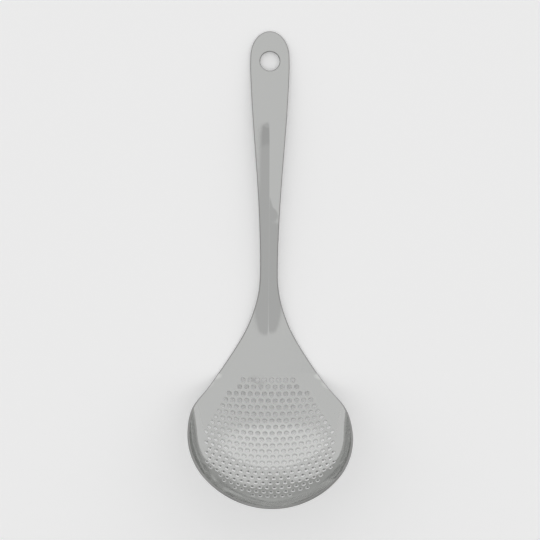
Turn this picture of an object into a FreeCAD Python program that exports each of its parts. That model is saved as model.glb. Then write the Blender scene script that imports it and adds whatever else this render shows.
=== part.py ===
import FreeCAD, Part
import math
import os
from bisect import bisect_right
from FreeCAD import Base, Vector

# A slotted spoon pressed from one sheet: a flat handle with a hanging hole, a creased neck
# and a deep bowl pierced all over with small holes.
#
# The sheet is drawn as a flat blank and then pressed. A place on the blank has two lengths:
# across, out from the centreline, and along, down the centreline from the tip of the handle.
# mid_sheet() carries such a place to its point on the formed spoon.
# The spoon lies hollow side up on its heel and its tip, with the handle towards +Y.
# The origin is at the bottom, in the middle of its length. All sizes are in millimetres.

# Sheet, and how far its edge is broken all round
SHEET = 1.6
EDGE_BREAK = 0.35

# Blank, along: from the tip of the handle to the waist, the heel, the widest place and the front
TIP_TO_WAIST = 154.5
WAIST_TO_HEEL = 71.5
HEEL_TO_WIDEST = 52.0
WIDEST_TO_FRONT = 53.4
END_ROUND = 17.0

# Blank, across: half widths
END_HALF = 12.6
WAIST_HALF = 5.7
BOWL_HALF = 57.4

# Form of the outline: shares of the way along and of the change in half width
TAPER = [(0.10, 0.02), (0.345, 0.31), (0.60, 0.69), (0.80, 0.91)]
FLARE = [
    (0.105, 0.013),
    (0.21, 0.071),
    (0.315, 0.169),
    (0.41, 0.297),
    (0.525, 0.478),
    (0.62, 0.641),
    (0.72, 0.820),
    (0.84, 0.940),
]
END_FULLNESS = 2.0
FRONT_FULLNESS = 2.157
ROUND_POINTS = 6
RIM_SAMPLES = 800

# Hanging hole
HANG_FROM_TIP = 19.6
HANG_RADIUS = 6.25

# Pierced holes: staggered rows that begin at the heel and stop short of the edge and the wall.
# Each hole is a small regular polygon, which keeps a sheet with hundreds of them light.
HOLE_RADIUS = 1.5
HOLE_SIDES = 7
HOLE_PITCH = 4.62
ROW_PITCH = 4.56
HOLE_TO_EDGE = 12.8
HOLE_TO_WALL = 1.0

# Side view: share of the way from tip to heel or from heel to front, and slope in degrees
HANDLE_SLOPES = [
    (0.0, 5.5),
    (0.19, 5.5),
    (0.38, 2.0),
    (0.56, -1.5),
    (0.735, -6.0),
    (0.845, -7.0),
    (0.935, -1.0),
]
BOWL_SLOPES = [(0.095, 13.8), (0.24, 28.0), (0.38, 37.1), (0.57, 46.5), (0.76, 58.5), (1.0, 72.0)]

# Section across: share of the way from heel to front, and radius of the bowl. Beyond WALL_FROM on
# either side of the centreline the wall turns up more tightly.
BOWL_RADII = [(0.0, 260.0), (0.10, 110.0), (0.285, 92.0), (0.57, 85.0), (0.85, 76.0)]
FLAT_BEFORE_HEEL = 4.0
WALL_FROM = 44.0
WALL_RADIUS = 28.0

# Crease that stiffens the handle and fades out before the heel: the slope of its flanks, and
# shares of the way along it with its half width and with the share of that slope reached
CREASE_FROM_TIP = 58.0
CREASE_TO_HEEL = 27.0
CREASE_SLOPE = 0.30
CREASE_HALVES = [(0.0, 1.0), (0.04, 3.6), (0.40, 4.6), (1.0, 5.6)]
CREASE_GROWTH = [
    (0.0, 0.0),
    (0.03, 0.38),
    (0.28, 0.42),
    (0.40, 0.72),
    (0.46, 0.95),
    (0.60, 1.0),
    (0.80, 1.0),
    (1.0, 0.0),
]
CREASE_ROUND = 0.6
SHOULDER_ROUND = 3.0

# Net of the pressed surface
CREASE_SPAN = 1.5
CREASE_SPANS = 4
OUTER_SPANS = 4
WALL_SPANS = 2
ALONG_SPANS = 32
NET_MARGIN = 5.0
CENTRE_STEP = 0.5
NORMAL_STEP = 0.05

WAIST = TIP_TO_WAIST
HEEL = WAIST + WAIST_TO_HEEL
WIDEST = HEEL + HEEL_TO_WIDEST
FRONT = WIDEST + WIDEST_TO_FRONT


def blend(table):
    """A smooth curve through a table of (place, value) that never overshoots a value."""
    xs, ys = zip(*table)
    rises = [(ys[i + 1] - ys[i]) / (xs[i + 1] - xs[i]) for i in range(len(xs) - 1)]
    slopes = [2 * a * b / (a + b) if a * b > 0 else 0.0 for a, b in zip(rises, rises[1:])]
    slopes = [rises[0]] + slopes + [rises[-1]]

    def value(x):
        x = min(max(x, xs[0]), xs[-1])
        i = min(bisect_right(xs, x), len(xs) - 1) - 1
        span = xs[i + 1] - xs[i]
        t = (x - xs[i]) / span
        ends = ys[i] * (1 + 2 * t) * (1 - t) ** 2 + ys[i + 1] * (3 - 2 * t) * t**2
        return ends + span * t * (1 - t) * (slopes[i] * (1 - t) - slopes[i + 1] * t)

    return value


def side_view():
    """Slope of the centreline, in radians, at a place along it."""
    table = [(share * HEEL, angle) for share, angle in HANDLE_SLOPES]
    table += [(HEEL + share * (FRONT - HEEL), angle) for share, angle in BOWL_SLOPES]
    return blend([(along, math.radians(angle)) for along, angle in table])


def bowl_section():
    """Curvature across the sheet: none in the handle, one over the radius in the bowl."""
    table = [(HEEL - FLAT_BEFORE_HEEL, 0.0)]
    table += [(HEEL + share * (FRONT - HEEL), 1 / radius) for share, radius in BOWL_RADII]
    return blend(table)


def crease_form():
    """Half width of the crease and slope of its flanks at a place along the handle."""
    length = HEEL - CREASE_TO_HEEL - CREASE_FROM_TIP
    half = blend([(CREASE_FROM_TIP + share * length, half) for share, half in CREASE_HALVES])
    slope = blend([(CREASE_FROM_TIP + share * length, grown * CREASE_SLOPE) for share, grown in CREASE_GROWTH])
    return half, slope


slope_at = side_view()
section_at = bowl_section()
crease_half_at, crease_slope_at = crease_form()


def centreline(lean):
    """Run towards the front and height, step by step along the blank, turned down by lean."""
    run, rise, line = 0.0, 0.0, []
    for i in range(int((FRONT + 2 * NET_MARGIN) / CENTRE_STEP) + 2):
        line.append((run, rise))
        slope = slope_at((i + 0.5) * CENTRE_STEP - NET_MARGIN) - lean
        run += CENTRE_STEP * math.cos(slope)
        rise += CENTRE_STEP * math.sin(slope)
    return line


def resting_lean():
    """The turn that lays both the tip and the heel on the table."""
    line = centreline(0)[int(NET_MARGIN / CENTRE_STEP) :]
    tip_run, tip_rise = line[0]
    return min(math.atan2(rise - tip_rise, run - tip_run) for run, rise in line[1:])


LEAN = resting_lean()
CENTRE = centreline(LEAN)


def centre_at(along):
    """Run, height and slope of the centreline at a place along the blank."""
    place = (along + NET_MARGIN) / CENTRE_STEP
    i = min(max(int(place), 0), len(CENTRE) - 2)
    (run0, rise0), (run1, rise1) = CENTRE[i], CENTRE[i + 1]
    share = place - i
    return run0 + (run1 - run0) * share, rise0 + (rise1 - rise0) * share, slope_at(along) - LEAN


def crease_depth(across, along):
    """How deep the crease sinks the sheet below the plain handle."""
    half = crease_half_at(along)
    shoulders = (math.hypot(across - half, SHOULDER_ROUND) + math.hypot(across + half, SHOULDER_ROUND)) / 2
    return crease_slope_at(along) * (shoulders - math.hypot(across, CREASE_ROUND))


def mid_sheet(across, along):
    """The point of the formed spoon, half way through the sheet, at a place on the blank."""
    run, rise, slope = centre_at(along)
    curve = section_at(along)
    inner = min(max(across, -WALL_FROM), WALL_FROM)
    inner_turn = curve * inner
    out, up = inner, 0.0
    if curve > 0:
        out, up = math.sin(inner_turn) / curve, (1 - math.cos(inner_turn)) / curve
    turn = inner_turn + (across - inner) / WALL_RADIUS
    out += WALL_RADIUS * (math.sin(turn) - math.sin(inner_turn))
    up += WALL_RADIUS * (math.cos(inner_turn) - math.cos(turn))
    depth = crease_depth(across, along)
    out += depth * math.sin(turn)
    up -= depth * math.cos(turn)
    return Vector(out, up * math.sin(slope) - run, rise + up * math.cos(slope))


def upward_normal(across, along):
    """Direction square to the sheet, towards the hollow side."""
    out = mid_sheet(across + NORMAL_STEP, along) - mid_sheet(across - NORMAL_STEP, along)
    down = mid_sheet(across, along + NORMAL_STEP) - mid_sheet(across, along - NORMAL_STEP)
    return down.cross(out).normalize()


def knots_across():
    """Close spans over the crease, then even, wider ones out to the wall and up it, on both sides."""
    crease = CREASE_SPAN * CREASE_SPANS
    outer = (WALL_FROM - crease) / OUTER_SPANS
    wall = (BOWL_HALF + NET_MARGIN - WALL_FROM) / WALL_SPANS
    side = [CREASE_SPAN * i for i in range(CREASE_SPANS)]
    side += [crease + outer * i for i in range(OUTER_SPANS)]
    side += [WALL_FROM + wall * i for i in range(WALL_SPANS + 1)]
    return [-x for x in reversed(side[1:])] + side


def knots_along():
    step = (FRONT + 2 * NET_MARGIN) / ALONG_SPANS
    return [step * i - NET_MARGIN for i in range(ALONG_SPANS + 1)]


def pole_places(knots):
    """Where each pole of a cubic net sits: the mean of the three knots it spans."""
    full = [knots[0]] * 3 + knots + [knots[-1]] * 3
    return [sum(full[i + 1 : i + 4]) / 3 for i in range(len(full) - 4)]


def pressed_surface(lift):
    """The pressed sheet at a height off its middle, with its blank lengths as parameters."""
    across, along = knots_across(), knots_along()
    poles = [
        [mid_sheet(a, b) + upward_normal(a, b) * lift for b in pole_places(along)]
        for a in pole_places(across)
    ]
    counts = [[4] + [1] * (len(knots) - 2) + [4] for knots in (across, along)]
    surface = Part.BSplineSurface()
    surface.buildFromPolesMultsKnots(poles, *counts, across, along, False, False, 3, 3)
    return surface


def quarter_round(half, length, fullness):
    """Points of a quarter of a rounded end, from its tip out to its full width."""
    angles = [math.pi / 2 * i / ROUND_POINTS for i in range(1, ROUND_POINTS)]
    power = 2 / fullness
    points = [(half * math.sin(t) ** power, length * (1 - math.cos(t) ** power)) for t in angles]
    return [(0.0, 0.0)] + points + [(half, length)]


def right_side():
    """Points of the outline on one side, from the tip to the front."""
    tip = quarter_round(END_HALF, END_ROUND, END_FULLNESS)
    taper = [
        (END_HALF + grown * (WAIST_HALF - END_HALF), END_ROUND + share * (WAIST - END_ROUND))
        for share, grown in TAPER
    ]
    flare = [
        (WAIST_HALF + grown * (BOWL_HALF - WAIST_HALF), WAIST + share * (WIDEST - WAIST))
        for share, grown in FLARE
    ]
    front = [(half, FRONT - back) for half, back in quarter_round(BOWL_HALF, WIDEST_TO_FRONT, FRONT_FULLNESS)]
    return tip + taper + [(WAIST_HALF, WAIST)] + flare + front[::-1]


def outline():
    """The edge of the blank as one closed curve that begins at the tip."""
    side = right_side()
    loop = side + [(-across, along) for across, along in side[-2:0:-1]]
    curve = Part.Geom2d.BSplineCurve2d()
    curve.interpolate(Points=[Base.Vector2d(*point) for point in loop], PeriodicFlag=True)
    return curve


def halves(curve):
    """The closed edge as its right and its left half."""
    front = curve.parameter(Base.Vector2d(0, FRONT))
    pieces = []
    for start, end in ((curve.FirstParameter, front), (front, curve.LastParameter)):
        piece = curve.copy()
        piece.setNotPeriodic()
        piece.segment(start, end)
        pieces.append(piece)
    return pieces


def rim_layers(curve):
    """The rim of the sheet from its lower to its upper side: height off the middle, and edges."""
    full = halves(curve)
    inset = [Part.Geom2d.OffsetCurve2d(half, -EDGE_BREAK) for half in full]
    edge = SHEET / 2
    return [(-edge, inset), (EDGE_BREAK - edge, full), (edge - EDGE_BREAK, full), (edge, inset)]


def pierced_places(curve):
    """Centres of the holes: every place of the staggered pattern that is far enough in."""
    step = (curve.LastParameter - curve.FirstParameter) / RIM_SAMPLES
    rim = [curve.value(curve.FirstParameter + i * step) for i in range(RIM_SAMPLES)]
    centres = []
    for row in range(int((FRONT - HEEL) / ROW_PITCH) + 1):
        along = HEEL + row * ROW_PITCH
        shift = 0.5 * (1 - row % 2)
        for column in range(int((WALL_FROM - HOLE_TO_WALL) / HOLE_PITCH - shift) + 1):
            across = (column + shift) * HOLE_PITCH
            inside = any(point.x > across and abs(point.y - along) < ROW_PITCH for point in rim)
            clear = min(math.hypot(across - point.x, along - point.y) for point in rim)
            if inside and clear >= HOLE_TO_EDGE:
                centres += [(side, along) for side in sorted({across, -across})]
    return centres


def pierced_wire(centre, surface):
    """One hole drawn on a pressed surface, in the order that leaves the metal outside."""
    middle = Base.Vector2d(*centre)
    turns = [2 * math.pi * i / HOLE_SIDES for i in range(HOLE_SIDES)]
    corners = [middle + Base.Vector2d(math.sin(t), math.cos(t)) * HOLE_RADIUS for t in turns]
    sides = zip(corners, corners[1:] + corners[:1])
    return Part.Wire([Part.Geom2d.Line2dSegment(a, b).toShape(surface) for a, b in sides])


def hanging_wall():
    """The wall of the hanging hole, and its lower and upper edge. The handle is flat there."""
    centre, axis = mid_sheet(0, HANG_FROM_TIP), upward_normal(0, HANG_FROM_TIP)
    bore = Part.makeCylinder(HANG_RADIUS, SHEET, centre - axis * SHEET / 2, axis)
    wall = next(face for face in bore.Faces if isinstance(face.Surface, Part.Cylinder))
    rings = [edge for edge in wall.Edges if isinstance(edge.Curve, Part.Circle)]
    return wall, sorted(rings, key=lambda ring: ring.CenterOfMass.dot(axis))


def skin(surface, rim, ring, holes):
    """One side of the sheet: the surface inside the rim, less the hanging hole and the small holes."""
    face = Part.Face(surface, Part.Wire(rim))
    around = Part.Wire([ring])
    around.reverse()
    face.cutHoles([around])
    face.validate()
    face.cutHoles(holes)
    return face


def build_spoon():
    """The whole spoon: two skins, the three strips of the rim and the walls of every hole."""
    curve = outline()
    layers = [(pressed_surface(lift), edges) for lift, edges in rim_layers(curve)]
    rims = [[edge.toShape(surface) for edge in edges] for surface, edges in layers]
    lower, upper = layers[0][0], layers[-1][0]
    centres = pierced_places(curve)
    holes = [[pierced_wire(centre, surface) for centre in centres] for surface in (lower, upper)]
    wall, rings = hanging_wall()
    faces = [wall, skin(lower, rims[0], rings[0], holes[0]), skin(upper, rims[-1], rings[-1], holes[-1])]
    pairs = [pair for below, above in zip(rims, rims[1:]) for pair in zip(below, above)]
    for below, above in pairs + list(zip(*holes)):
        faces += Part.makeRuledSurface(below, above).Faces
    body = Part.Compound(faces)
    body.sewShape()
    return Part.makeSolid(body.Shells[0])


def set_down(spoon):
    """Moves the spoon so that the origin is under the middle of its length."""
    box = spoon.optimalBoundingBox(True, False)
    spoon.translate(Vector(0, -box.Center.y, -box.ZMin))
    return spoon


os.makedirs("parts", exist_ok=True)
set_down(build_spoon()).exportStep("parts/spoon.step")
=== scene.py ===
import math

import bpy
import numpy as np
from mathutils import Matrix, Vector
from mathutils.geometry import delaunay_2d_cdt


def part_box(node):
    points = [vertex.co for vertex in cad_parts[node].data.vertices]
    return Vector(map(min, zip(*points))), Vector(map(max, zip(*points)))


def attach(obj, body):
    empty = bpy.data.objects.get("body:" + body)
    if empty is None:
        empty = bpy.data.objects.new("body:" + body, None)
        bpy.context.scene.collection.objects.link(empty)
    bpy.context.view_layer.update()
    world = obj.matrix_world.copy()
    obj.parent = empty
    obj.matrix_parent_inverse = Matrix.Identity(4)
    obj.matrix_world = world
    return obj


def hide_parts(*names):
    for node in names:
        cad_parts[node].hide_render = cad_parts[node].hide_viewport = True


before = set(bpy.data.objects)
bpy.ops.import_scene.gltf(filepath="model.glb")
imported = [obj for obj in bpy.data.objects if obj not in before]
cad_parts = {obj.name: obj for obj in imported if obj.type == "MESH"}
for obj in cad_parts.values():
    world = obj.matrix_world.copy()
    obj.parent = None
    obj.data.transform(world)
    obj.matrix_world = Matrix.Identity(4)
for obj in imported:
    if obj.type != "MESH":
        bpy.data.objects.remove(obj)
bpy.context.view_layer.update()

# The spoon is drawn again as a fine mesh from the sizes of its solid, in millimetres: a place on
# the flat blank is (across, along), and form() carries it to the pressed sheet.
MM = 0.001

# Blank: sheet, lengths along, half widths across, and form of the outline
SHEET = 1.6
TIP_TO_WAIST = 154.5
WAIST_TO_HEEL = 71.5
HEEL_TO_WIDEST = 52.0
WIDEST_TO_FRONT = 53.4
END_ROUND = 17.0
END_HALF = 12.6
WAIST_HALF = 5.7
BOWL_HALF = 57.4
TAPER = [(0.10, 0.02), (0.345, 0.31), (0.60, 0.69), (0.80, 0.91)]
FLARE = [
    (0.105, 0.013),
    (0.21, 0.071),
    (0.315, 0.169),
    (0.41, 0.297),
    (0.525, 0.478),
    (0.62, 0.641),
    (0.72, 0.820),
    (0.84, 0.940),
]
END_FULLNESS = 2.0
FRONT_FULLNESS = 2.157
ROUND_POINTS = 6

WAIST = TIP_TO_WAIST
HEEL = WAIST + WAIST_TO_HEEL
WIDEST = HEEL + HEEL_TO_WIDEST
FRONT = WIDEST + WIDEST_TO_FRONT

# Hanging hole and small holes
HANG_FROM_TIP = 19.6
HANG_RADIUS = 6.25
HOLE_RADIUS = 1.5
HOLE_PITCH = 4.62
ROW_PITCH = 4.56
HOLE_TO_EDGE = 12.8
HOLE_TO_WALL = 1.0

# Side view: share of the way along and slope in degrees
HANDLE_SLOPES = [
    (0.0, 5.5),
    (0.19, 5.5),
    (0.38, 2.0),
    (0.56, -1.5),
    (0.735, -6.0),
    (0.845, -7.0),
    (0.935, -1.0),
]
BOWL_SLOPES = [(0.095, 13.8), (0.24, 28.0), (0.38, 37.1), (0.57, 46.5), (0.76, 58.5), (1.0, 72.0)]

# Section of the bowl: share of the way from heel to front and radius, and the tighter side walls
BOWL_RADII = [(0.0, 260.0), (0.10, 110.0), (0.285, 92.0), (0.57, 85.0), (0.85, 76.0)]
FLAT_BEFORE_HEEL = 4.0
FLATTEST = 1e-9
WALL_FROM = 44.0
WALL_RADIUS = 28.0

# Crease: shares of its length, and places along for the rounding of its bottom line, which is
# finer here than in the solid
CREASE_FROM_TIP = 58.0
CREASE_TO_HEEL = 27.0
CREASE_END = HEEL - CREASE_TO_HEEL
CREASE_SLOPE = 0.30
CREASE_HALVES = [(0.0, 1.0), (0.04, 3.6), (0.40, 4.6), (1.0, 5.6)]
CREASE_GROWTH = [
    (0.0, 0.0),
    (0.03, 0.38),
    (0.28, 0.42),
    (0.40, 0.72),
    (0.46, 0.95),
    (0.60, 1.0),
    (0.80, 1.0),
    (1.0, 0.0),
]
CREASE_ROUNDS = [(58.0, 1.6), (65.0, 1.0), (72.0, 0.4), (150.0, 0.25), (165.0, 0.5)]
SHOULDER_ROUND = 3.0

# Lip: the last strip of the bowl's edge turns up more than in the solid, by 0.7 mm at most. It
# grows between two places along, and is weaker within a distance of the centreline.
LIP_WIDTH = 15.0
LIP_TURN = 0.09
LIP_GROWS = (240.0, 272.0)
LIP_IN_FRONT = 0.35
LIP_FRONT_HALF = 30.0

# Length of the centreline: steps, and how far they go past both ends of the blank
CENTRE_STEP = 0.5
MARGIN = 5.0

# Mesh: points round the edges, and the rounding of the edges
RIM_POINTS = 700
HANG_POINTS = 72
HOLE_POINTS = 24
RIM_EDGE = 0.5
HOLE_EDGE = 0.2
EDGE_STEPS = 3
FINE_POINTS = 40
FINE_STEPS = 100
TANGENT_STEP = 0.25
SAME_POINT = 1e-7

# Mesh: close rows over the crease, and wider staggered rows elsewhere, clear of the close ones
CLOSE_ACROSS = 0.6
CLOSE_ALONG = 1.5
CLOSE_COLUMNS = 25
CLOSE_PAST_ENDS = 8.0
CLOSE_PAST_SIDES = 2.5
WIDE_STEP = 2.2
WIDE_ROW = 0.866
WIDE_COLUMNS = 26
WIDE_TO_CLOSE = 1.0
GRID_TO_EDGE = 0.8

# Slots of the two materials in the mesh: the steel of the faces, and the cut edge darkened as
# painted shade
FACE_SLOT = 0
CUT_SLOT = 1


def blend(table):
    """The smooth curve of the solid's source through a table of (place, value)."""
    xs, ys = (np.array(column, float) for column in zip(*table))
    rises = np.diff(ys) / np.diff(xs)
    inner = [2 * a * b / (a + b) if a * b > 0 else 0.0 for a, b in zip(rises, rises[1:])]
    slopes = np.array([rises[0], *inner, rises[-1]])

    def value(x):
        x = np.clip(np.asarray(x, float), xs[0], xs[-1])
        i = np.minimum(np.searchsorted(xs, x, side="right"), len(xs) - 1) - 1
        span = xs[i + 1] - xs[i]
        t = (x - xs[i]) / span
        ends = ys[i] * (1 + 2 * t) * (1 - t) ** 2 + ys[i + 1] * (3 - 2 * t) * t**2
        return ends + span * t * (1 - t) * (slopes[i] * (1 - t) - slopes[i + 1] * t)

    return value


def placed(table, start, end):
    """A table by shares of a length as a table by places along the blank."""
    return [(start + share * (end - start), value) for share, value in table]


slopes = placed(HANDLE_SLOPES, 0.0, HEEL) + placed(BOWL_SLOPES, HEEL, FRONT)
slope_at = blend([(along, math.radians(angle)) for along, angle in slopes])
curves = [(along, 1 / radius) for along, radius in placed(BOWL_RADII, HEEL, FRONT)]
section_at = blend([(HEEL - FLAT_BEFORE_HEEL, 0.0)] + curves)
growth = placed(CREASE_GROWTH, CREASE_FROM_TIP, CREASE_END)
crease_slope_at = blend([(along, grown * CREASE_SLOPE) for along, grown in growth])
crease_half_at = blend(placed(CREASE_HALVES, CREASE_FROM_TIP, CREASE_END))
crease_round_at = blend(CREASE_ROUNDS)

PLACES = np.arange(-MARGIN, FRONT + MARGIN, CENTRE_STEP)


def centreline(lean):
    """Run and rise along the middle of the sheet, turned down by lean."""
    slopes = slope_at(PLACES[:-1] + CENTRE_STEP / 2) - lean
    run = np.concatenate([[0], np.cumsum(np.cos(slopes))]) * CENTRE_STEP
    rise = np.concatenate([[0], np.cumsum(np.sin(slopes))]) * CENTRE_STEP
    return run, rise


def resting_lean():
    """How far the centreline turns down to stand on the handle's tip and the heel."""
    run, rise = centreline(0)
    tip = int(MARGIN / CENTRE_STEP)
    return np.arctan2(rise[tip + 1 :] - rise[tip], run[tip + 1 :] - run[tip]).min()


LEAN = resting_lean()
RUN, RISE = centreline(LEAN)


def smooth(value, start, end):
    """A soft step from 0 at start to 1 at end."""
    share = np.clip((value - start) / (end - start), 0, 1)
    return share * share * (3 - 2 * share)


def lip(across, along):
    """How far the edge of the bowl is turned up at a place."""
    ahead = np.maximum(along - WIDEST, 0) / WIDEST_TO_FRONT
    aside = np.abs(across) / BOWL_HALF
    share = (aside**FRONT_FULLNESS + ahead**FRONT_FULLNESS) ** (1 / FRONT_FULLNESS)
    strip = np.maximum(LIP_WIDTH - (1 - share) * BOWL_HALF, 0)
    spread = LIP_IN_FRONT + (1 - LIP_IN_FRONT) * smooth(np.abs(across), 0, LIP_FRONT_HALF)
    return LIP_TURN * strip**2 / (2 * LIP_WIDTH) * spread * smooth(along, *LIP_GROWS)


def form(place):
    """Points of the middle of the pressed sheet for places (across, along) on the blank."""
    across, along = place[:, 0], place[:, 1]
    slope = slope_at(along) - LEAN
    run, rise = np.interp(along, PLACES, RUN), np.interp(along, PLACES, RISE)
    curve = np.maximum(section_at(along), FLATTEST)
    inner = np.clip(across, -WALL_FROM, WALL_FROM)
    inner_turn = curve * inner
    turn = inner_turn + (across - inner) / WALL_RADIUS
    out = np.sin(inner_turn) / curve + (np.sin(turn) - np.sin(inner_turn)) * WALL_RADIUS
    up = 2 * np.sin(inner_turn / 2) ** 2 / curve
    up = up + (np.cos(inner_turn) - np.cos(turn)) * WALL_RADIUS
    half = crease_half_at(along)
    shoulders = np.hypot(across - half, SHOULDER_ROUND) + np.hypot(across + half, SHOULDER_ROUND)
    depth = crease_slope_at(along) * (shoulders / 2 - np.hypot(across, crease_round_at(along)))
    depth = depth - lip(across, along)
    out, up = out + depth * np.sin(turn), up - depth * np.cos(turn)
    return np.stack([out, up * np.sin(slope) - run, rise + up * np.cos(slope)], 1)


def unit(vectors):
    return vectors / np.linalg.norm(vectors, axis=-1, keepdims=True)


def sheet_frame(place, step=TANGENT_STEP):
    """Upward normal of the sheet and its two tangents, per millimetre of the blank."""
    shift = np.array([[step, 0.0], [0.0, step]])
    right = (form(place + shift[0]) - form(place - shift[0])) / (2 * step)
    down = (form(place + shift[1]) - form(place - shift[1])) / (2 * step)
    return unit(np.cross(down, right)), right, down


def quarter_round(half, length, fullness):
    """Points (across, along) of a rounded end, from its middle out to its full width."""
    angles = [math.pi / 2 * i / ROUND_POINTS for i in range(1, ROUND_POINTS)]
    power = 2 / fullness
    points = [(half * math.sin(t) ** power, length * (1 - math.cos(t) ** power)) for t in angles]
    return [(0.0, 0.0)] + points + [(half, length)]


def right_side():
    """Knots of one side of the outline, from the handle's tip to the front."""
    tip = quarter_round(END_HALF, END_ROUND, END_FULLNESS)
    taper = [
        (END_HALF + grown * (WAIST_HALF - END_HALF), END_ROUND + share * (WAIST - END_ROUND))
        for share, grown in TAPER
    ]
    flare = [
        (WAIST_HALF + grown * (BOWL_HALF - WAIST_HALF), WAIST + share * (WIDEST - WAIST))
        for share, grown in FLARE
    ]
    rounded = quarter_round(BOWL_HALF, WIDEST_TO_FRONT, FRONT_FULLNESS)
    front = [(half, FRONT - back) for half, back in rounded[::-1]]
    return tip + taper + [(WAIST_HALF, WAIST)] + flare + front


def outline(count):
    """Even points on the edge of the blank and their outward directions, by a closed spline."""
    side = right_side()
    knots = np.array(side + [(-across, along) for across, along in side[-2:0:-1]])
    spans = np.linalg.norm(np.roll(knots, -1, 0) - knots, axis=1)
    size = len(knots)
    system = np.zeros((size, size))
    wanted = np.zeros((size, 2))
    for i in range(size):
        before, after = spans[i - 1], spans[i]
        system[i, i - 1] += before
        system[i, i] += 2 * (before + after)
        system[i, (i + 1) % size] += after
        last, here, following = knots[i - 1], knots[i], knots[(i + 1) % size]
        wanted[i] = 6 * ((following - here) / after - (here - last) / before)
    bends = np.linalg.solve(system, wanted)
    starts = np.concatenate([[0], np.cumsum(spans)])
    whole = starts[-1]

    def value(at):
        i = np.minimum(np.searchsorted(starts, at, side="right") - 1, size - 1)
        j = (i + 1) % size
        span = spans[i][:, None]
        b = ((at - starts[i]) / spans[i])[:, None]
        a = 1 - b
        curved = (a**3 - a) * bends[i] + (b**3 - b) * bends[j]
        return a * knots[i] + b * knots[j] + curved * span**2 / 6

    fine = np.linspace(0, whole, FINE_POINTS * count, endpoint=False)
    points = value(fine)
    steps = np.linalg.norm(np.roll(points, -1, 0) - points, axis=1)
    lengths = np.concatenate([[0], np.cumsum(steps)])
    even = np.linspace(0, lengths[-1], count, endpoint=False)
    at = np.interp(even, lengths, np.append(fine, whole))
    step = whole / (FINE_STEPS * count)
    tangent = unit(value(np.mod(at + step, whole)) - value(np.mod(at - step, whole)))
    outward = np.stack([tangent[:, 1], -tangent[:, 0]], 1)
    points = value(at)
    if (outward * (points - [0, WAIST])).sum() < 0:
        outward = -outward
    return points, outward


def ring(centre, radius, count):
    """Points round a hole and the directions out of the metal, towards the centre."""
    turns = 2 * np.pi * np.arange(count) / count
    spokes = np.stack([np.sin(turns), np.cos(turns)], 1)
    return centre + spokes * radius, -spokes


def inside(points, loop):
    """Which points lie inside a closed loop."""
    result = np.zeros(len(points), bool)
    x, y = points[:, 0], points[:, 1]
    for (x0, y0), (x1, y1) in zip(loop, np.roll(loop, -1, 0)):
        if y0 != y1:
            crossed = (y0 > y) != (y1 > y)
            result ^= crossed & (x < x0 + (y - y0) / (y1 - y0) * (x1 - x0))
    return result


def gaps(points, others):
    """Distance from each point to the nearest of some others."""
    return np.array([np.hypot(*(others - point).T).min() for point in points])


def pierced_places(rim):
    """Centres of the small holes, by the rule of the solid's source."""
    places = []
    for row in range(int((FRONT - HEEL) / ROW_PITCH) + 1):
        shift = 0.5 * (1 - row % 2)
        for column in range(int((WALL_FROM - HOLE_TO_WALL) / HOLE_PITCH - shift) + 1):
            across = (column + shift) * HOLE_PITCH
            places += [(side, HEEL + row * ROW_PITCH) for side in sorted({across, -across})]
    places = np.array(places)
    places = places[inside(places, rim)]
    return places[gaps(places, rim) >= HOLE_TO_EDGE]


def by_crease(across, along, before, after, aside):
    """Whether a place is no further than these lengths before, after and beside the crease."""
    within = CREASE_FROM_TIP - before < along < CREASE_END + after
    return within and abs(across) < crease_half_at(along) + aside


def grid(rim, centres):
    """Places between the edges: close over the crease, wider elsewhere."""
    close = [
        (across, along)
        for along in np.arange(
            CREASE_FROM_TIP - CLOSE_PAST_ENDS, CREASE_END + CLOSE_PAST_ENDS, CLOSE_ALONG
        )
        for across in np.arange(-CLOSE_COLUMNS, CLOSE_COLUMNS + 1) * CLOSE_ACROSS
        if abs(across) < crease_half_at(along) + CLOSE_PAST_SIDES
    ]
    wide = [
        (column * WIDE_STEP + 0.5 * WIDE_STEP * (row % 2), row * WIDE_STEP * WIDE_ROW)
        for row in range(int(FRONT / WIDE_STEP / WIDE_ROW) + 1)
        for column in range(-WIDE_COLUMNS, WIDE_COLUMNS + 1)
    ]
    before = CLOSE_PAST_ENDS + WIDE_TO_CLOSE
    aside = CLOSE_PAST_SIDES + WIDE_TO_CLOSE
    wide = [place for place in wide if not by_crease(*place, before, CLOSE_PAST_ENDS, aside)]
    places = np.array(close + wide)
    places = places[inside(places, rim)]
    places = places[gaps(places, rim) > GRID_TO_EDGE]
    places = places[gaps(places, centres) > HOLE_RADIUS + HOLE_EDGE + GRID_TO_EDGE]
    hanging = np.hypot(places[:, 0], places[:, 1] - HANG_FROM_TIP)
    return places[hanging > HANG_RADIUS + RIM_EDGE + GRID_TO_EDGE]


def triangulate(loops, inner):
    """Triangles of the blank between its outline, the first loop, and the holes."""
    places = np.concatenate([*loops, inner])
    edges, owner, start = [], np.full(len(places), -1), 0
    for number, loop in enumerate(loops):
        count = len(loop)
        edges += [(start + i, start + (i + 1) % count) for i in range(count)]
        owner[start : start + count] = number
        start += count
    found = delaunay_2d_cdt([Vector(place) for place in places], edges, [], 0, SAME_POINT)
    source = np.array([origin[0] for origin in found[3]])
    triangles = source[np.array(found[2])]
    owners = owner[triangles]
    filled = (owners[:, 0] > 0) & (owners[:, 0] == owners[:, 1]) & (owners[:, 0] == owners[:, 2])
    triangles = triangles[~filled]
    return places, triangles[inside(places[triangles].mean(1), loops[0])]


def facing(triangles, points, normals):
    """The triangles, each turned so that it faces along the normals of its corners."""
    a, b, c = (points[triangles[:, i]] for i in range(3))
    wrong = (np.cross(b - a, c - a) * normals[triangles].sum(1)).sum(1) < 0
    triangles = triangles.copy()
    triangles[wrong] = triangles[wrong][:, ::-1]
    return triangles


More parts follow.
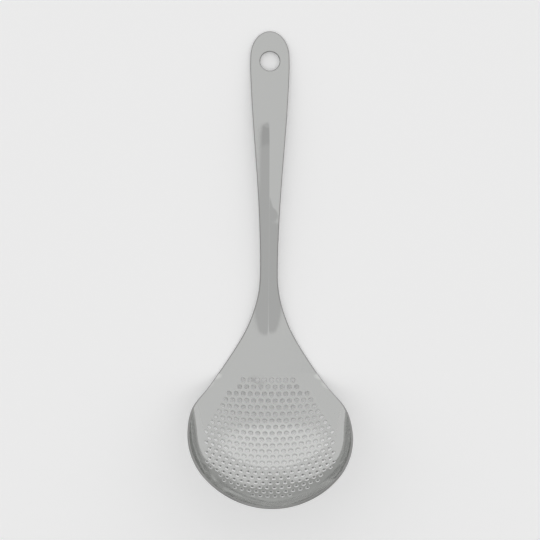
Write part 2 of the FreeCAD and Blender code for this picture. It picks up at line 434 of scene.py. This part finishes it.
def spoon_mesh():
    """The whole spoon: both sides of the sheet, and rounded edges down every hole and the rim.

    Gives its points with their normals and places on the blank, its triangles and their slots.
    """
    rim, outward = outline(RIM_POINTS)
    centres = pierced_places(rim)
    loops = [(rim - outward * RIM_EDGE, outward, RIM_EDGE)]
    hang, inward = ring(np.array([0, HANG_FROM_TIP]), HANG_RADIUS + RIM_EDGE, HANG_POINTS)
    loops.append((hang, inward, RIM_EDGE))
    for centre in centres:
        hole, inward = ring(centre, HOLE_RADIUS + HOLE_EDGE, HOLE_POINTS)
        loops.append((hole, inward, HOLE_EDGE))
    places, skin = triangulate([loop[0] for loop in loops], grid(rim, centres))

    middle = form(places)
    up = sheet_frame(places)[0]
    points = [middle + up * SHEET / 2, middle - up * SHEET / 2]
    normals = [up, -up]
    blank = [places, places]
    triangles = [skin, skin + len(places)]
    slots = [np.full(2 * len(skin), FACE_SLOT)]
    total, start = 2 * len(places), 0
    angles = [math.pi / 2 * i / EDGE_STEPS for i in range(1, EDGE_STEPS + 1)]
    for loop, away, edge in loops:
        count = len(loop)
        index = np.arange(count)
        rings = [start + index]
        for side, turns in ((1, angles), (-1, angles[::-1])):
            for turn in turns:
                at = loop + away * edge * math.sin(turn)
                lift = side * (SHEET / 2 - edge * (1 - math.cos(turn)))
                normal, right, down = sheet_frame(at)
                wall = unit(right * away[:, :1] + down * away[:, 1:])
                points.append(form(at) + normal * lift)
                normals.append(unit(normal * side * math.cos(turn) + wall * math.sin(turn)))
                blank.append(at)
                rings.append(total + index)
                total += count
        rings.append(len(places) + start + index)
        # The rounded edges of the rim and the hanging hole take the material darkened as painted
        # shade; the small holes' edges take the steel of the faces.
        slot = CUT_SLOT if edge == RIM_EDGE else FACE_SLOT
        for upper, lower in zip(rings, rings[1:]):
            triangles.append(np.stack([upper, np.roll(upper, -1), lower], 1))
            triangles.append(np.stack([np.roll(upper, -1), np.roll(lower, -1), lower], 1))
            slots.append(np.full(2 * count, slot))
        start += count
    points, normals = np.concatenate(points), np.concatenate(normals)
    triangles = facing(np.concatenate(triangles), points, normals)
    return points, normals, np.concatenate(blank), triangles, np.concatenate(slots)


# The mesh goes to the place of the solid, lengthwise and in height
points, normals, blank, triangles, slots = spoon_mesh()
low, high = (np.array(corner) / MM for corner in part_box("spoon"))
least, most = points.min(0), points.max(0)
seat = np.array([0, (low[1] + high[1] - least[1] - most[1]) / 2, low[2] - least[2]])
points = (points + seat) * MM

mesh = bpy.data.meshes.new("spoon_sheet")
mesh.from_pydata(points.tolist(), [], triangles.tolist())
mesh.shade_smooth()
mesh.normals_split_custom_set_from_vertices(normals.tolist())
layer = mesh.uv_layers.new(name="blank")
layer.uv.foreach_set("vector", (blank[triangles.ravel()] * MM).astype(np.float32).ravel())
spoon = bpy.data.objects.new("spoon_sheet", mesh)
bpy.context.scene.collection.objects.link(spoon)
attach(spoon, "root")
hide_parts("spoon")

# Steel: brushing is a noise stretched along the blank, and both noises vary the roughness
WHITE = (1, 1, 1, 1)
STEEL_COLOUR = (0.58, 0.585, 0.575, 1)
BRUSHING_SCALE = (9000, 250, 1)
BRUSHING_DETAIL = 3.0
BRUSHING_BUMP = 0.08
BRUSHING_DEPTH = 0.00005
CLOUDS_SCALE = 60.0
CLOUDS_DETAIL = 4.0
ROUGHNESS = {"From Min": 0.6, "From Max": 1.4, "To Min": 0.02, "To Max": 0.05}
# The cut edge's colour is darker than the steel: painted shade for the dark outline along the rim
# and round the hanging hole. Its roughness is the duller cut.
CUT_EDGE_PAINTED_SHADE_COLOUR = (0.32, 0.32, 0.315, 1)
CUT_ROUGHNESS = 0.3


def node(tree, kind, **values):
    """A node with some of its inputs and settings filled in."""
    made = tree.nodes.new(kind)
    for name, value in values.items():
        if name in made.inputs:
            made.inputs[name].default_value = value
        else:
            setattr(made, name, value)
    return made


def metal(name, colour):
    """A material of bare metal, and its shader."""
    material = bpy.data.materials.new(name)
    material.use_nodes = True
    shader = material.node_tree.nodes["Principled BSDF"]
    shader.inputs["Metallic"].default_value = 1.0
    shader.inputs["Base Color"].default_value = colour
    return material, shader


def steel():
    """Polished stainless sheet with fine brushing along the blank."""
    material, shader = metal("stainless_steel", STEEL_COLOUR)
    tree = material.node_tree
    link = tree.links.new
    places = node(tree, "ShaderNodeUVMap", uv_map="blank")
    stretch = node(tree, "ShaderNodeMapping", Scale=BRUSHING_SCALE)
    link(places.outputs["UV"], stretch.inputs["Vector"])
    lines = node(
        tree, "ShaderNodeTexNoise", Scale=1.0, Detail=BRUSHING_DETAIL, noise_dimensions="2D"
    )
    link(stretch.outputs["Vector"], lines.inputs["Vector"])
    clouds = node(
        tree,
        "ShaderNodeTexNoise",
        Scale=CLOUDS_SCALE,
        Detail=CLOUDS_DETAIL,
        noise_dimensions="2D",
    )
    link(places.outputs["UV"], clouds.inputs["Vector"])
    mixed = node(tree, "ShaderNodeMath", operation="ADD")
    link(lines.outputs["Fac"], mixed.inputs[0])
    link(clouds.outputs["Fac"], mixed.inputs[1])
    rough = node(tree, "ShaderNodeMapRange", **ROUGHNESS)
    link(mixed.outputs["Value"], rough.inputs["Value"])
    link(rough.outputs["Result"], shader.inputs["Roughness"])
    bump = node(tree, "ShaderNodeBump", Strength=BRUSHING_BUMP, Distance=BRUSHING_DEPTH)
    link(lines.outputs["Fac"], bump.inputs["Height"])
    link(bump.outputs["Normal"], shader.inputs["Normal"])
    return material


def cut_edge_with_painted_shade():
    """The sheared edge of the sheet, duller than its faces, and darker in colour as painted shade
    for the dark outline along the rim and round the hanging hole.
    """
    material, shader = metal("cut_edge_with_painted_shade", CUT_EDGE_PAINTED_SHADE_COLOUR)
    shader.inputs["Roughness"].default_value = CUT_ROUGHNESS
    return material


mesh.materials.append(steel())
mesh.materials.append(cut_edge_with_painted_shade())
mesh.polygons.foreach_set("material_index", slots)

# Floor: it takes the spoon's shadow, and looks a little lighter to the camera and in the metal
# than the light on it alone would make it
FLOOR_SIZE = 8
FLOOR_COLOUR = (0.95, 0.95, 0.95, 1)
FLOOR_GLOW = 0.13


def floor_paper():
    """Matt paper, with the glow added for the rays that look at it."""
    material = bpy.data.materials.new("paper")
    material.use_nodes = True
    tree = material.node_tree
    link = tree.links.new
    tree.nodes.remove(tree.nodes["Principled BSDF"])
    paper = node(tree, "ShaderNodeBsdfDiffuse", Color=FLOOR_COLOUR)
    glow = node(tree, "ShaderNodeEmission", Color=WHITE, Strength=FLOOR_GLOW)
    seen = node(tree, "ShaderNodeAddShader")
    link(paper.outputs["BSDF"], seen.inputs[0])
    link(glow.outputs["Emission"], seen.inputs[1])
    rays = node(tree, "ShaderNodeLightPath")
    watched = rays.outputs["Is Camera Ray"]
    for kind in ("Is Glossy Ray", "Is Transmission Ray"):
        either = node(tree, "ShaderNodeMath", operation="MAXIMUM")
        link(watched, either.inputs[0])
        link(rays.outputs[kind], either.inputs[1])
        watched = either.outputs["Value"]
    mix = node(tree, "ShaderNodeMixShader")
    link(watched, mix.inputs["Fac"])
    link(paper.outputs["BSDF"], mix.inputs[1])
    link(seen.outputs["Shader"], mix.inputs[2])
    link(mix.outputs["Shader"], tree.nodes["Material Output"].inputs["Surface"])
    return material


bpy.ops.mesh.primitive_plane_add(size=FLOOR_SIZE)
floor = bpy.context.object
floor.name = "floor"
floor.data.materials.append(floor_paper())

# World: an even room with soft panels. Each panel has a strength and the soft edges that bound
# it: an axis, and the direction's values along it at which the panel begins and is full. Where
# panels overlap, the brightest counts.
ROOM = 0.30
PANELS = [
    (0.26, [("Y", -0.75, -0.55)]),
    (0.34, [("Y", -0.75, -0.55), ("Y", 0.20, 0.16)]),
    (0.51, [("X", 0.12, 0.085), ("Y", -0.036, -0.024)]),
    (0.51, [("X", 0.12, 0.085), ("X", -0.05, -0.02), ("Y", -0.75, -0.55)]),
    (0.51, [("Y", 0.20, 0.28)]),
    (0.70, [("Y", 0.64, 0.90)]),
    (1.60, [("Y", -0.30, -0.42), ("Z", 0.77, 0.85)]),
]


def studio():
    """A sky whose strength is that of the room plus the brightest panel in each direction."""
    made = bpy.data.worlds.new("studio")
    made.use_nodes = True
    tree = made.node_tree
    link = tree.links.new
    direction = node(tree, "ShaderNodeSeparateXYZ")
    link(node(tree, "ShaderNodeTexCoord").outputs["Generated"], direction.inputs["Vector"])
    brightest = None
    for gain, edges in PANELS:
        panel = None
        for axis, start, end in edges:
            span = {"From Min": start, "From Max": end, "To Min": 0.0, "To Max": 1.0}
            step = node(tree, "ShaderNodeMapRange", interpolation_type="SMOOTHSTEP", **span)
            link(direction.outputs[axis], step.inputs["Value"])
            both = node(tree, "ShaderNodeMath", operation="MULTIPLY")
            both.inputs[0].default_value = gain
            if panel is not None:
                link(panel, both.inputs[0])
            link(step.outputs["Result"], both.inputs[1])
            panel = both.outputs["Value"]
        most = node(tree, "ShaderNodeMath", operation="MAXIMUM")
        most.inputs[0].default_value = 0.0
        if brightest is not None:
            link(brightest, most.inputs[0])
        link(panel, most.inputs[1])
        brightest = most.outputs["Value"]
    total = node(tree, "ShaderNodeMath", operation="ADD")
    total.inputs[0].default_value = ROOM
    link(brightest, total.inputs[1])
    background = tree.nodes["Background"]
    background.inputs["Color"].default_value = WHITE
    link(total.outputs["Value"], background.inputs["Strength"])
    return made


bpy.context.scene.world = studio()

# Camera, in metres: its place, where it aims from the heel, and the width of the floor it sees
CAMERA_OFFSET = Vector((-0.055, 0.0, 1.2))
AIM_FROM_HEEL = Vector((0.00100, 0.0712, 0.0))
FIELD = 0.3491
ROLL = math.radians(0.34)
SENSOR_WIDTH = 36
NEAREST = 0.05

heel = Vector((form(np.array([[0.0, HEEL]]))[0] + seat) * MM)
aim = Vector((AIM_FROM_HEEL.x, heel.y + AIM_FROM_HEEL.y, 0))
eye = Vector((CAMERA_OFFSET.x, aim.y, CAMERA_OFFSET.z))
lens = bpy.data.cameras.new("camera")
lens.sensor_width = SENSOR_WIDTH
lens.lens = SENSOR_WIDTH * (eye - aim).length / FIELD
lens.clip_start = NEAREST
camera = bpy.data.objects.new("camera", lens)
bpy.context.scene.collection.objects.link(camera)
back = (eye - aim).normalized()
right = Vector((0, 1, 0)).cross(back).normalized()
turned = Matrix((right, back.cross(right), back)).transposed()
camera.location = eye
camera.rotation_euler = (turned @ Matrix.Rotation(ROLL, 3, "Z")).to_euler()
bpy.context.scene.camera = camera

bpy.context.scene.view_settings.view_transform = "Standard"
